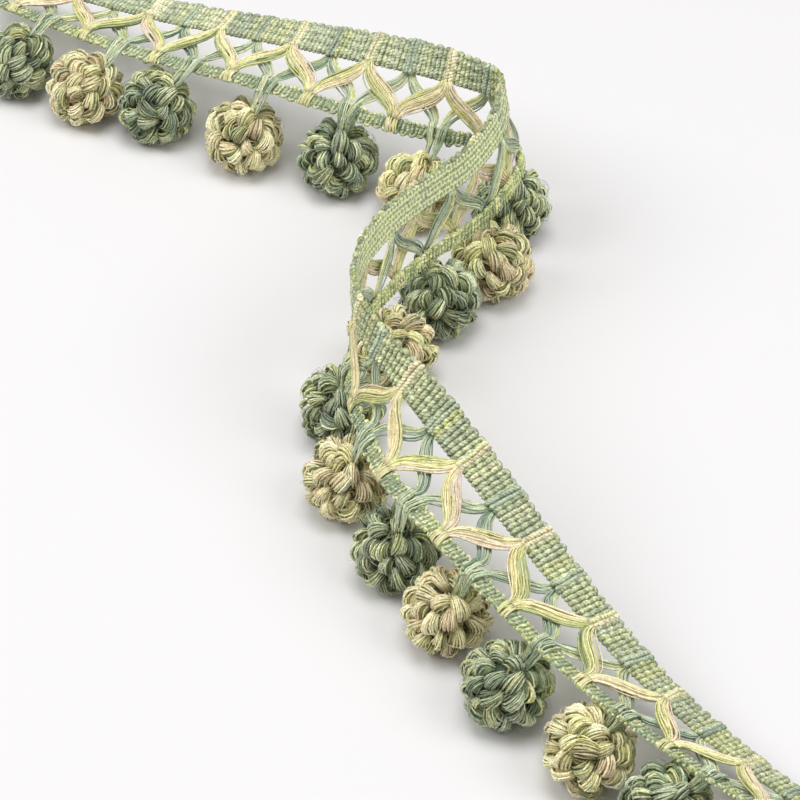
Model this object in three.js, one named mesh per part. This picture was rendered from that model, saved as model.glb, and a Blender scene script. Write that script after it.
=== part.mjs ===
import * as THREE from "three";
import { mergeVertices } from "three/addons/utils/BufferGeometryUtils.js";

// A cut length of bobble fringe trim, lying in an S on a flat surface.
// A woven heading carries two crossing zig-zags of yarn, one in front and one behind.
// A narrow braid ties their lower ends, and a yarn bobble hangs from the braid at every pitch.
// Millimetres, +Z up, the surface at z = 0, the origin under the middle of the whole length.

const pitch = 28; // along the trim, from one bobble to the next
const firstStation = 0.5; // a station is a count of pitches, with a bobble at each whole number
const lastStation = 19.5;
const stepsPerPitch = 8;

const headingWidth = 10;
const headingThickness = 1.6;
const latticeHeight = 14.6; // the open band between the heading and the braid
const braidWidth = 3.8;
const braidThickness = 2;
const trimWidth = headingWidth + latticeHeight + braidWidth;

const clearance = 0.3; // between neighbouring pieces
const yarnThickness = 1.1; // of each zig-zag, through the trim
const latticeGap = 0.5; // between the two zig-zags where they cross
const creamLeg = { half: 1.5, apexHalf: 0.9 }; // half widths at the middle of a leg and at its turns
const tealLeg = { half: 1.2, apexHalf: 0.8 };

const bobbleRadius = 12;
const lobeDepth = 0.1; // how far the grooves between the loops sink, as a share of the radius
const bobbleRest = 10.5; // height of a bobble's centre, so that its underside is pressed flat
const hangerRadius = { braid: 1.4, bobble: 0.9 };
const hangerSides = 8;
const hangerGap = 0.4; // at the braid's lower edge

const startPoint = { x: -126.68, y: 183.09 }; // middle of the trim's width at the first station
const startDirection = -31; // degrees from +X

// How the trim lies. turn is the bend since the row above, left positive. lean is how far the trim
// tips from upright towards its left. lift is the height of the middle of its width.
const lie = [
  { station: 0.5, turn: 0, lean: 110, lift: 18 }, // cut end, lying back
  { station: 3, turn: 0, lean: 86, lift: 24 },
  { station: 5, turn: 2, lean: 74, lift: 32.5 },
  { station: 6.5, turn: 4, lean: 44, lift: 36 }, // standing up
  { station: 7.5, turn: 1, lean: 8, lift: 37 },
  { station: 8, turn: -66, lean: -16, lift: 39 }, // the tight right-hand bend
  { station: 8.5, turn: -23, lean: -15, lift: 39.5 },
  { station: 9.5, turn: -23, lean: -10, lift: 38.5 },
  { station: 11, turn: 21, lean: -7, lift: 41 }, // the wide left-hand bend
  { station: 12.5, turn: 50, lean: 21, lift: 41.5 },
  { station: 14, turn: 11, lean: 76, lift: 36 }, // lying back again
  { station: 15.5, turn: 2, lean: 98, lift: 26.5 },
  { station: 17, turn: 6, lean: 115, lift: 18.5 },
  { station: 19.5, turn: 9, lean: 130, lift: 14.5 }, // the other cut end
];

// Where each bobble lies from the braid's lower edge at its own station: ahead along the trim,
// and left of it.
const bobbleLie = [
  { ahead: -5, left: -10 },
  { ahead: -7, left: -8.5 },
  { ahead: -7, left: -8.5 },
  { ahead: -10.5, left: -4.5 },
  { ahead: -6, left: -4 },
  { ahead: -3, left: -1 },
  { ahead: -2, left: -10 },
  { ahead: 4.4, left: -3.5 },
  { ahead: 2.3, left: 3 },
  { ahead: -2.8, left: 2.5 },
  { ahead: -4, left: 4.4 },
  { ahead: -4, left: -1.4 },
  { ahead: -6.6, left: -1.8 },
  { ahead: -6.1, left: 1.4 },
  { ahead: -6.9, left: -1.1 },
  { ahead: -6.4, left: -4.8 },
  { ahead: -5.7, left: -4.4 },
  { ahead: -7.3, left: -5.8 },
  { ahead: -6, left: -7 },
];

const goldenTurn = 137.5; // degrees, so that no two bobbles show the same side

const yarn = {
  heading: new THREE.MeshStandardMaterial({ color: 0xa3b283, roughness: 0.95, metalness: 0 }),
  braid: new THREE.MeshStandardMaterial({ color: 0x9bab82, roughness: 0.95, metalness: 0 }),
  cream: new THREE.MeshStandardMaterial({ color: 0xd9d0a4, roughness: 0.9, metalness: 0 }),
  teal: new THREE.MeshStandardMaterial({ color: 0x6f8b7c, roughness: 0.9, metalness: 0 }),
};

const up = new THREE.Vector3(0, 0, 1);

// The plan line is one arc or straight for each row of the table. Each row gets its start here.
const arcs = lie.slice(1).reduce((list, row, i) => {
  const from = list[i];
  const length = (row.station - from.station) * pitch;
  from.bend = THREE.MathUtils.degToRad(row.turn) / length;
  const end = alongArc(from, length);
  list.push({ ...end, station: row.station, bend: 0 });
  return list;
}, [{ ...startPoint, direction: THREE.MathUtils.degToRad(startDirection), station: firstStation }]);

function alongArc({ x, y, direction, bend }, length) {
  const turned = direction + bend * length;
  if (Math.abs(bend) < 1e-9) {
    return { x: x + Math.cos(direction) * length, y: y + Math.sin(direction) * length, direction };
  }
  return {
    x: x + (Math.sin(turned) - Math.sin(direction)) / bend,
    y: y - (Math.cos(turned) - Math.cos(direction)) / bend,
    direction: turned,
  };
}

function rowBefore(station) {
  const after = lie.findIndex((row) => row.station > station);
  return after < 0 ? lie.length - 2 : Math.max(after - 1, 0);
}

// A smooth curve through one column of the table: a cubic between rows, with each row's slope
// taken from its neighbours.
function column(name, station) {
  const i = rowBefore(station);
  const slope = (j) => {
    const before = lie[Math.max(j - 1, 0)];
    const after = lie[Math.min(j + 1, lie.length - 1)];
    return (after[name] - before[name]) / (after.station - before.station);
  };
  const span = lie[i + 1].station - lie[i].station;
  const t = (station - lie[i].station) / span;
  return (
    (2 * t ** 3 - 3 * t ** 2 + 1) * lie[i][name] +
    (t ** 3 - 2 * t ** 2 + t) * span * slope(i) +
    (3 * t ** 2 - 2 * t ** 3) * lie[i + 1][name] +
    (t ** 3 - t ** 2) * span * slope(i + 1)
  );
}

// The trim's own directions at a station: along it, to its left, across its width and out of its face.
function frameAt(station) {
  const i = rowBefore(station);
  const spot = alongArc(arcs[i], (station - arcs[i].station) * pitch);
  const lean = THREE.MathUtils.degToRad(column("lean", station));
  const along = new THREE.Vector3(Math.cos(spot.direction), Math.sin(spot.direction), 0);
  const left = new THREE.Vector3(-along.y, along.x, 0);
  const across = left.clone().multiplyScalar(Math.sin(lean)).addScaledVector(up, Math.cos(lean));
  const face = up.clone().multiplyScalar(Math.sin(lean)).addScaledVector(left, -Math.cos(lean));
  return { middle: new THREE.Vector3(spot.x, spot.y, column("lift", station)), along, left, across, face };
}

// A point of the trim: height above the braid's lower edge, and depth towards the front face.
function place(station, height, depth) {
  const { middle, across, face } = frameAt(station);
  return middle.addScaledVector(across, height - trimWidth / 2).addScaledVector(face, depth);
}

// A closed solid through four-cornered sections: low back, low front, high front, high back.
function loft(sections) {
  const corners = 4;
  const position = sections.flat().flatMap((point) => point.toArray());
  const index = [];
  for (let i = 0; i + 1 < sections.length; i++) {
    for (let j = 0; j < corners; j++) {
      const a = i * corners + j;
      const b = i * corners + ((j + 1) % corners);
      index.push(a, b + corners, b, a, a + corners, b + corners);
    }
  }
  const last = (sections.length - 1) * corners;
  index.push(0, 1, 2, 0, 2, 3, last, last + 2, last + 1, last, last + 3, last + 2);
  const geometry = new THREE.BufferGeometry();
  geometry.setAttribute("position", new THREE.Float32BufferAttribute(position, 3));
  geometry.setIndex(index);
  geometry.computeVertexNormals();
  return geometry;
}

function stations() {
  const count = (lastStation - firstStation) * stepsPerPitch;
  return Array.from({ length: count + 1 }, (_, i) => firstStation + i / stepsPerPitch);
}

// A plain tape between two heights of the trim, the heading or the braid.
function tape(low, high, thickness) {
  const half = thickness / 2;
  return loft(
    stations().map((s) => [
      place(s, low, -half),
      place(s, low, half),
      place(s, high, half),
      place(s, high, -half),
    ]),
  );
}

// A zig-zag of yarn between the braid and the heading. topStation is any station where it meets
// the heading, and it meets the braid half a pitch on. Its legs swell between the turns.
function zigzag(topStation, leg, back, front) {
  const low = braidWidth + clearance + leg.apexHalf;
  const high = braidWidth + latticeHeight - clearance - leg.apexHalf;
  return loft(
    stations().map((s) => {
      const phase = s - topStation - Math.floor(s - topStation);
      const rise = Math.abs(2 * phase - 1); // 1 at the heading, 0 at the braid
      const atTurn = rise === 0 || rise === 1;
      const half = leg.apexHalf + (leg.half - leg.apexHalf) * Math.sin(Math.PI * rise);
      const legDirection = new THREE.Vector2(pitch / 2, (high - low) * (phase < 0.5 ? -1 : 1));
      const sideways = atTurn ? new THREE.Vector2(1, 0) : legDirection.normalize();
      const shift = (-sideways.y * half) / pitch;
      const spread = sideways.x * half;
      const height = low + (high - low) * rise;
      return [
        place(s - shift, height - spread, back),
        place(s - shift, height - spread, front),
        place(s + shift, height + spread, front),
        place(s + shift, height + spread, back),
      ];
    }),
  );
}

// A ball of yarn loops: twelve rounded lobes, one at each corner of an icosahedron, with shallow
// grooves between. It stands on one lobe, which is pressed flat where it rests.
function bobble() {
  const bare = (geometry) => {
    geometry.deleteAttribute("normal");
    geometry.deleteAttribute("uv");
    return mergeVertices(geometry);
  };
  const pointAt = (geometry, i) => new THREE.Vector3().fromBufferAttribute(geometry.attributes.position, i);
  const corners = bare(new THREE.IcosahedronGeometry(1, 0));
  const lobes = Array.from({ length: corners.attributes.position.count }, (_, i) => pointAt(corners, i));
  const ball = bare(new THREE.IcosahedronGeometry(1, 2));
  const lobeReach = Math.cos(Math.atan(2) / 2); // cosine of the angle from a lobe to the groove
  const standUp = new THREE.Quaternion().setFromUnitVectors(lobes[0], up.clone().negate());
  for (let i = 0; i < ball.attributes.position.count; i++) {
    const point = pointAt(ball, i).normalize();
    const nearest = Math.max(...lobes.map((lobe) => lobe.dot(point)));
    const groove = Math.min((1 - nearest) / (1 - lobeReach), 1);
    point.multiplyScalar(bobbleRadius * (1 - lobeDepth * groove)).applyQuaternion(standUp);
    ball.attributes.position.setXYZ(i, point.x, point.y, Math.max(point.z, -bobbleRest));
  }
  ball.computeVertexNormals();
  return ball;
}

function named(name, geometry, material) {
  const mesh = new THREE.Mesh(geometry, material);
  mesh.name = name;
  return mesh;
}

// One bobble and the bundle of yarn that it hangs by, which runs from the braid's lower edge
// to the bobble's skin.
function hungBobble(number, lieFromBraid) {
  const label = String(number).padStart(2, "0");
  const edge = place(number, 0, 0);
  const { along, left, across } = frameAt(number);
  const ball = named("bobble_" + label, bobble(), number % 2 ? yarn.cream : yarn.teal);
  ball.position.copy(edge).addScaledVector(along, lieFromBraid.ahead).addScaledVector(left, lieFromBraid.left);
  ball.position.z = bobbleRest;
  ball.rotation.z = THREE.MathUtils.degToRad(goldenTurn * number);
  ball.updateMatrixWorld();

  const pull = ball.position.clone().sub(edge).normalize();
  const slant = hangerRadius.braid * Math.sin(pull.angleTo(across));
  const top = edge.clone().addScaledVector(across, -(hangerGap + slant));
  const direction = ball.position.clone().sub(top).normalize();
  const toSkin = new THREE.Raycaster(top, direction).intersectObject(ball)[0].distance;
  const length = toSkin - 2 * clearance;
  const hanger = named(
    "hanger_" + label,
    new THREE.CylinderGeometry(hangerRadius.bobble, hangerRadius.braid, length, hangerSides),
    yarn.teal,
  );
  hanger.position.copy(top).addScaledVector(direction, length / 2);
  hanger.quaternion.setFromUnitVectors(new THREE.Vector3(0, 1, 0), direction);
  return [ball, hanger];
}

const trim = new THREE.Group();
trim.add(
  named("heading", tape(trimWidth - headingWidth, trimWidth, headingThickness), yarn.heading),
  named("braid", tape(0, braidWidth, braidThickness), yarn.braid),
  named("cream_lattice", zigzag(1, creamLeg, latticeGap / 2, latticeGap / 2 + yarnThickness), yarn.cream),
  named("teal_lattice", zigzag(0.5, tealLeg, -latticeGap / 2 - yarnThickness, -latticeGap / 2), yarn.teal),
);
bobbleLie.forEach((lieFromBraid, i) => trim.add(...hungBobble(i + 1, lieFromBraid)));

export default trim;
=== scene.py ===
from math import cos, pi, radians, sin

import bpy
import numpy as np
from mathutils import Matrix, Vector


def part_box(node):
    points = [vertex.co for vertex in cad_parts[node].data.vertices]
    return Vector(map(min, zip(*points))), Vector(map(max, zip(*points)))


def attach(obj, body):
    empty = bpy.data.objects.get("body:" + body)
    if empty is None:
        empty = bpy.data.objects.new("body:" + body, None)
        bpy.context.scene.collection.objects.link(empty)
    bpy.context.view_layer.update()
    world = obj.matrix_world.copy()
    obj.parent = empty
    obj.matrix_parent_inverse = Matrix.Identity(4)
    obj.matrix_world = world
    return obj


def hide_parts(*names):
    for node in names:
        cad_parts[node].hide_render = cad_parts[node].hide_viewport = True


# Bobble fringe trim: a woven heading, two zig-zags of loose yarn, a narrow braid and looped-yarn bobbles.
# Lengths are millimetres, and addPiece turns them into the metres of the scene.
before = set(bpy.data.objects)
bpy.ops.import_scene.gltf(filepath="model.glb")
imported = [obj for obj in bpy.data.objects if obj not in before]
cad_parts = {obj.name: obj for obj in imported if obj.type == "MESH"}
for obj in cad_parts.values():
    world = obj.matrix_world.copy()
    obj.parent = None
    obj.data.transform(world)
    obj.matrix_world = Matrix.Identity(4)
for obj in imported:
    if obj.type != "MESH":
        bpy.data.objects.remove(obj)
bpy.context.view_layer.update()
mm = 0.001
print("frame loaded,", len(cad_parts), "nodes")

trim = {
    "pitch": 28,  # along the trim, from one bobble to the next
    "firstStation": 0.5,  # a station is a count of pitches, with a bobble at each whole number
    "lastStation": 19.5,
    "headingWidth": 10,
    "latticeHeight": 14.6,  # the open band
    "braidWidth": 3.8,
    "startX": -126.68,  # middle of the trim's width at the first station
    "startY": 183.09,
    "startDirection": -31,  # degrees from +X
}
trimWidth = trim["headingWidth"] + trim["latticeHeight"] + trim["braidWidth"]
headingLow = trimWidth - trim["headingWidth"]

# How the trim lies, row by row. turn is the bend since the row before, left positive, in degrees.
# lean is how far it tips from upright towards its left. lift is the height of the middle of its width.
lie = {
    "station": np.array([0.5, 3, 5, 6.5, 7.5, 8, 8.5, 9.5, 11, 12.5, 14, 15.5, 17, 19.5]),
    "turn": np.array([0, 0, 2, 4, 1, -66, -23, -23, 21, 50, 11, 2, 6, 9]),
    "lean": np.array([110, 86, 74, 44, 8, -16, -15, -10, -7, 21, 76, 98, 115, 130]),
    "lift": np.array([18, 24, 32.5, 36, 37, 39, 39.5, 38.5, 41, 41.5, 36, 26.5, 18.5, 14.5]),
}


# The row that a station comes after.
def rowBefore(station):
    return np.clip(np.searchsorted(lie["station"], station, side="right") - 1, 0, len(lie["station"]) - 2)


# A smooth curve through one column: a cubic between rows, whose slope at a row is that of its neighbours.
def column(name, station):
    x, y = lie["station"], lie[name]
    xAround, yAround = np.pad(x, 1, mode="edge"), np.pad(y, 1, mode="edge")
    slope = (yAround[2:] - yAround[:-2]) / (xAround[2:] - xAround[:-2])
    i = rowBefore(station)
    span = x[i + 1] - x[i]
    t = (station - x[i]) / span
    return (
        (2 * t**3 - 3 * t**2 + 1) * y[i]
        + (t**3 - 2 * t**2 + t) * span * slope[i]
        + (3 * t**2 - 2 * t**3) * y[i + 1]
        + (t**3 - t**2) * span * slope[i + 1]
    )


# The plan line is one arc for each row: the chord of an arc is its length times sin(half) / half.
rowLength = np.diff(lie["station"]) * trim["pitch"]
rowTurn = np.radians(lie["turn"][1:])
rowDirection = radians(trim["startDirection"]) + np.concatenate([[0], np.cumsum(rowTurn)])


def chord(direction, turn, arcLength):
    half = turn / 2
    reach = arcLength * np.sinc(half / pi)
    return np.stack([np.cos(direction + half) * reach, np.sin(direction + half) * reach], -1)


rowStart = np.array([trim["startX"], trim["startY"]]) + np.concatenate(
    [[[0, 0]], np.cumsum(chord(rowDirection[:-1], rowTurn, rowLength), axis=0)]
)


# The trim's own directions at stations: along it, across its width, and out of its front face.
def directions(station):
    station = np.asarray(station, float)
    i = rowBefore(station)
    share = (station - lie["station"][i]) / (lie["station"][i + 1] - lie["station"][i])
    bearing = rowDirection[i] + rowTurn[i] * share
    lean = np.radians(column("lean", station))
    flat = np.zeros_like(bearing)
    along = np.stack([np.cos(bearing), np.sin(bearing), flat], -1)
    left = np.stack([-np.sin(bearing), np.cos(bearing), flat], -1)
    up = np.array([0, 0, 1.0])
    across = left * np.sin(lean)[..., None] + up * np.cos(lean)[..., None]
    face = up * np.sin(lean)[..., None] - left * np.cos(lean)[..., None]
    plan = rowStart[i] + chord(rowDirection[i], rowTurn[i] * share, rowLength[i] * share)
    middle = np.concatenate([plan, column("lift", station)[..., None]], -1)
    return middle, along, across, face


# A point of the trim: height above the braid's lower edge, and depth towards the front face.
def place(station, height, depth):
    station, height, depth = np.broadcast_arrays(station, height, depth)
    middle, _, across, face = directions(station)
    return middle + across * (height - trimWidth / 2)[..., None] + face * depth[..., None]


def normalised(vectors):
    return vectors / np.maximum(np.linalg.norm(vectors, axis=-1, keepdims=True), 1e-9)


# sRGB hex colours as linear numbers.
def linear(code):
    value = np.array([int(code[i:i + 2], 16) for i in (1, 3, 5)]) / 255
    return np.where(value <= 0.04045, value / 12.92, ((value + 0.055) / 1.055) ** 2.4)


# Colours of yarn, each with its share of the strands, in an order where neighbours are alike.
yarn = {
    "cream": {
        "#f4e3c0": 1.6, "#feefca": 4, "#fff7cd": 4.4, "#f4eebb": 3,
        "#e1dea6": 1.8, "#c3ca9c": 1.2, "#9c9d6f": 0.8,
    },
    "teal": {
        "#f0f0d0": 1, "#d9e0bc": 3, "#c4cdb0": 3, "#a6b2a4": 1,
        "#aab79a": 3, "#7f906f": 2.5, "#b9bd8c": 1.5, "#e6e5b0": 2,
    },
    "creamLeg": {
        "#f4e5ce": 1, "#f5ebc9": 4, "#f3ecbf": 3, "#eae8b1": 3,
        "#dbdfa4": 2.5, "#c5cc99": 2, "#a7af80": 1,
    },
    "tealLeg": {"#e6e8b8": 2, "#dbe3c4": 3, "#c8d4ba": 3, "#b0c0aa": 2, "#8fa88e": 1.2},
    "hanger": {"#eeeec8": 2, "#dfe7c6": 3, "#ccd9bd": 3, "#adbfa6": 2, "#839b7b": 1},
    "heading": {"#d2d8bb": 4, "#cbd2bd": 4, "#dcdeb9": 2, "#c2cab9": 3, "#e3e4ca": 2},
    "fleck": {"#e6e8ba": 2.5, "#9db18f": 3},
    # headingEdge colours the heading cords' sides: partly their yellow-green outline, partly painted shade in
    # the grooves
    "headingEdge": {"#d6dc9c": 3, "#cad298": 2, "#e1e3ae": 1},
    "limeHeading": {"#dadeb4": 3, "#d6daae": 2},
    "braid": {"#d6debb": 4, "#cbd6b4": 3, "#d9dfae": 3, "#bdcaac": 2, "#e2e5be": 1.5},
    "braidBack": {"#f6fac4": 4, "#eaf2b8": 3, "#dfe8b4": 2},
    "creamStitch": {"#f2ecca": 3, "#efe8c4": 2, "#eae8bc": 2},
    "tealStitch": {"#c3cdb2": 3, "#b7c3ac": 3},
}


# One colour for each item, with a little of its own lightness. near is how far along the palette an item
# is, from 0 to 1, and without it the colours are drawn by share.
def pickColours(random, palette, shape, spread=0.08, near=None):
    shares = np.array(list(yarn[palette].values()))
    bounds = np.cumsum(shares) / shares.sum()
    spot = random.random(shape) if near is None else np.broadcast_to(near, shape) % 1
    picked = np.searchsorted(bounds[:-1], spot, side="right")
    lightness = 1 + spread * random.standard_normal(shape)
    return np.array([linear(code) for code in yarn[palette]])[picked] * lightness[..., None]


# Closed tubes from rings of points, with shape (count, rings, corners, 3). Each end is closed by a fan to
# the ring's middle. along is each ring's distance from the start, kept in the UV map with the way round,
# which is turns at a whole turn, and phase is where in its twist a tube starts.
def skin(rings, along, colour, phase=0.0, turns=1):
    count, steps, sides = rings.shape[:3]
    ends = rings[:, [0, -1]].mean(axis=2)
    points = np.concatenate([rings.reshape(-1, 3), ends.reshape(-1, 3)])
    index = np.arange(count * steps * sides).reshape(count, steps, sides)
    beside = np.roll(index, -1, axis=2)
    quads = np.stack([index[:, :-1], beside[:, :-1], beside[:, 1:], index[:, 1:]], -1).reshape(-1, 4)
    middle = count * steps * sides + np.arange(count * 2).reshape(count, 2)
    startFan = np.stack([np.repeat(middle[:, :1], sides, 1), beside[:, 0], index[:, 0]], -1)
    endFan = np.stack([np.repeat(middle[:, 1:], sides, 1), index[:, -1], beside[:, -1]], -1)
    fans = np.concatenate([startFan.reshape(-1, 3), endFan.reshape(-1, 3)])

    around = turns * np.arange(sides) / sides - np.reshape(phase, (-1, 1, 1))
    low = np.broadcast_to(along[:, :-1, None], (count, steps - 1, sides))
    high = np.broadcast_to(along[:, 1:, None], (count, steps - 1, sides))
    first, second = np.broadcast_to(around, low.shape), np.broadcast_to(around + turns / sides, low.shape)
    quadUv = np.stack([low, first, low, second, high, second, high, first], -1).reshape(-1, 2)
    fanUv = np.zeros((fans.size, 2))

    colour = np.broadcast_to(colour, rings.shape)
    endColour = colour[:, [0, -1]].mean(axis=2)
    return {
        "points": points,
        "corners": np.concatenate([quads.ravel(), fans.ravel()]),
        "sizes": np.concatenate([np.full(len(quads), 4), np.full(len(fans), 3)]),
        "uv": np.concatenate([quadUv, fanUv]),
        "colour": np.concatenate([colour.reshape(-1, 3), endColour.reshape(-1, 3)]),
    }


# Round strands: a ring square to each path at every point, whose first corner looks towards facing.
# swell is each corner's share of the radius. Painted shade: a strand is darker and richer in colour low on
# its sides, where it meets the next one, colour to the power 1 + shade * (1 - |cos(corner)|).
def tubes(paths, radius, facing, colour, sides=6, swell=1.0, phase=0.0, shade=1.2):
    ahead = normalised(np.gradient(paths, axis=1))
    beside = normalised(np.cross(ahead, np.broadcast_to(facing, paths.shape)))
    out = np.cross(beside, ahead)
    angle = 2 * pi * np.arange(sides) / sides
    ring = out[:, :, None] * np.cos(angle)[:, None] + beside[:, :, None] * np.sin(angle)[:, None]
    reach = np.broadcast_to(radius, paths.shape[:2])[..., None] * swell
    rings = paths[:, :, None] + ring * np.broadcast_to(reach, ring.shape[:3])[..., None]
    # painted shade, darker and richer low on each strand's sides
    colour = np.clip(colour, 0, 1) ** (1 + shade * (1 - np.abs(np.cos(angle))))[:, None]
    return skin(rings, distanceAlong(paths), colour, phase)


def distanceAlong(paths):
    step = np.linalg.norm(np.diff(paths, axis=1), axis=-1)
    return np.concatenate([np.zeros((len(paths), 1)), np.cumsum(step, axis=1)], axis=1)


# A radius that rounds off over the first and last rings of a strand, down to a small flat tip.
def roundEnds(steps, rings=2):
    fromEnd = np.minimum(np.arange(steps), np.arange(steps)[::-1])
    inside = np.clip((fromEnd + 0.35) / rings, 0, 1)
    return np.sqrt(1 - (1 - inside) ** 2)


def joined(shapes):
    counts = np.cumsum([0] + [len(shape["points"]) for shape in shapes[:-1]])
    whole = {key: np.concatenate([shape[key] for shape in shapes]) for key in shapes[0]}
    whole["corners"] = np.concatenate([shape["corners"] + n for shape, n in zip(shapes, counts)])
    return whole


# Puts a mesh, a light or a camera into the scene as an object.
def addObject(name, data):
    thing = bpy.data.objects.new(name, data)
    bpy.context.scene.collection.objects.link(thing)
    return thing


# Makes the mesh, gives it its finish, and lets it ride on the frame in place of its nodes.
def addPiece(name, shape, material, nodes):
    mesh = bpy.data.meshes.new(name)
    mesh.vertices.add(len(shape["points"]))
    mesh.vertices.foreach_set("co", (shape["points"] * mm).astype(np.float32).ravel())
    mesh.loops.add(len(shape["corners"]))
    mesh.loops.foreach_set("vertex_index", shape["corners"].astype(np.int32))
    mesh.polygons.add(len(shape["sizes"]))
    starts = np.concatenate([[0], np.cumsum(shape["sizes"])[:-1]])
    mesh.polygons.foreach_set("loop_start", starts.astype(np.int32))
    mesh.update(calc_edges=True)
    mesh.polygons.foreach_set("use_smooth", np.ones(len(starts), bool))
    layer = mesh.uv_layers.new(name="strand")
    layer.uv.foreach_set("vector", shape["uv"].astype(np.float32).ravel())
    colour = mesh.attributes.new("yarnColour", "FLOAT_COLOR", "POINT")
    opaque = np.ones((len(shape["points"]), 1))
    colour.data.foreach_set("color", np.hstack([shape["colour"], opaque]).astype(np.float32).ravel())
    mesh.materials.append(material)
    mesh.validate()
    piece = addObject(name, mesh)
    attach(piece, "root")
    if nodes:
        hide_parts(*nodes)
    return piece


# A shader socket that Python's own operators work on.
class Link:
    def __init__(self, shader, socket):
        self.shader, self.socket = shader, socket

    def maths(self, operation, *values):
        return self.shader.add("ShaderNodeMath", {"operation": operation}, dict(enumerate(values)))

    def __add__(self, other):
        return self.maths("ADD", self, other)

    def __radd__(self, other):
        return self.maths("ADD", other, self)

    def __sub__(self, other):
        return self.maths("SUBTRACT", self, other)

    def __rsub__(self, other):
        return self.maths("SUBTRACT", other, self)

    def __mul__(self, other):
        return self.maths("MULTIPLY", self, other)

    def __rmul__(self, other):
        return self.maths("MULTIPLY", other, self)

    def __abs__(self):
        return self.maths("ABSOLUTE", self)

    def wave(self):
        return self.maths("COSINE", self)

    def floor(self):
        return self.maths("FLOOR", self)

    def fraction(self):
        return self.maths("FRACT", self)

    def atLeast(self, other):
        return self.maths("MAXIMUM", self, other)


class Shader:
    def __init__(self, name):
        self.material = bpy.data.materials.new(name)
        self.material.use_nodes = True
        self.tree = self.material.node_tree
        self.surface = self.tree.nodes["Principled BSDF"]

    # Any node: its settings are set first, then the values or links of its sockets.
    def add(self, kind, settings=None, values=None, output=0):
        node = self.tree.nodes.new(kind)
        for key, value in (settings or {}).items():
            setattr(node, key, value)
        for key, value in (values or {}).items():
            self.set(node.inputs[key], value)
        return Link(self, node.outputs[output])

    def set(self, socket, value):
        if isinstance(value, Link):
            self.tree.links.new(value.socket, socket)
        else:
            socket.default_value = value

    # A blend of two colours, each a hex code or a link.
    def mix(self, factor, *colours):
        ends = [(*linear(colour), 1) if isinstance(colour, str) else colour for colour in colours]
        values = {0: factor, 6: ends[0], 7: ends[1]}
        return self.add("ShaderNodeMix", {"data_type": "RGBA", "clamp_factor": True}, values, output=2)

    def noise(self, where, scale, detail, roughness=0.5):
        values = {"Vector": where, "Scale": scale, "Detail": detail, "Roughness": roughness}
        return self.add("ShaderNodeTexNoise", values=values)

    # The piece's own map: the distance along the strand, and the way round it.
    def strandMap(self):
        spot = self.add("ShaderNodeUVMap", {"uv_map": "strand"})
        return [self.add("ShaderNodeSeparateXYZ", values={0: spot}, output=axis) for axis in "XY"]

    def finish(self, **values):
        for key, value in values.items():
            self.set(self.surface.inputs[key.replace("_", " ")], value)
        return self.material


# Yarn: the strand's own colour, with painted shade in the grooves between its twisted plies, uneven from
# fibre to fibre, and streaked along its length. lay is how far the twist takes to go once round, in
# millimetres. The ply pattern is |cos(pi * plies * (around - along / lay))|, whose mean is about 0.64.
def yarnMaterial(name, look):
    shader = Shader(name)
    colour = shader.add("ShaderNodeAttribute", {"attribute_name": "yarnColour"}, output="Color")
    along, around = shader.strandMap()
    ply = abs(((around - along * (1 / look["lay"])) * (pi * look["plies"])).wave())
    where = shader.add("ShaderNodeTexCoord", output="Object")
    fibres = shader.noise(where, look["fibreScale"], 3.0, 0.6)
    # streaks are long along the strand and narrow round it
    stretched = shader.add("ShaderNodeCombineXYZ", values={0: along * 0.5, 1: around * 7})
    streaks = shader.noise(stretched, 1.0, 2.0)
    # painted shade in the grooves between plies
    tone = 1 + look["plyGrooveShade"] * (ply - 0.64)
    tone = tone + look["uneven"] * (fibres - 0.5) + look["streaky"] * (streaks - 0.5)
    shaded = shader.add("ShaderNodeVectorMath", {"operation": "SCALE"}, {0: colour, "Scale": tone})
    relief = ply + 0.6 * fibres
    bumpValues = {"Strength": look["bump"], "Distance": look["relief"] * mm, "Height": relief}
    bump = shader.add("ShaderNodeBump", values=bumpValues)
    return shader.finish(
        Base_Color=shaded, Normal=bump, Roughness=look["roughness"], Sheen_Weight=look["sheen"],
        Sheen_Roughness=0.5, Specular_IOR_Level=look["shine"],
    )


# cords are the heading's and the braid's, strands and marled are the cream and the teal bobbles', and floats
# are the long loose yarns. relief is in millimetres.
looks = {
    "cords": {
        "plies": 2, "lay": 2.2, "plyGrooveShade": 0.2, "uneven": 2.2, "streaky": 0.7, "fibreScale": 1500,
        "bump": 0.7, "relief": 0.3, "roughness": 0.85, "shine": 0.1, "sheen": 0.05,
    },
    "strands": {
        "plies": 3, "lay": 4.0, "plyGrooveShade": 0.25, "uneven": 1.5, "streaky": 1.6, "fibreScale": 1700,
        "bump": 0.4, "relief": 0.12, "roughness": 0.6, "shine": 0.4, "sheen": 0.15,
    },
    "marled": {
        "plies": 3, "lay": 4.0, "plyGrooveShade": 0.35, "uneven": 1.8, "streaky": 2.0, "fibreScale": 1500,
        "bump": 0.4, "relief": 0.12, "roughness": 0.6, "shine": 0.4, "sheen": 0.15,
    },
    "floats": {
        "plies": 3, "lay": 8.0, "plyGrooveShade": 0.2, "uneven": 1.0, "streaky": 1.2, "fibreScale": 1500,
        "bump": 0.3, "relief": 0.1, "roughness": 0.55, "shine": 0.4, "sheen": 0.15,
    },
}
finishes = {name: yarnMaterial(name + "Yarn", look) for name, look in looks.items()}
print("finishes made")

# The yarn of the heading and the braid.
cordYarn = {
    "drift": 0.05,  # how much its lightness drifts along it
    "mottle": 0.08,  # and varies from ring to ring
    "swell": 0.045,  # how much its radius drifts
    "shade": 0.85,  # how much darker and richer its sides are in colour, as painted shade where cords meet
}


# Random numbers of about 1 that drift along each row, from a moving sum of four.
def drifting(random, rows, steps):
    numbers = random.standard_normal((rows, steps + 3))
    return (numbers[:, :-3] + numbers[:, 1:-2] + numbers[:, 2:-1] + numbers[:, 3:]) / 2
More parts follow.
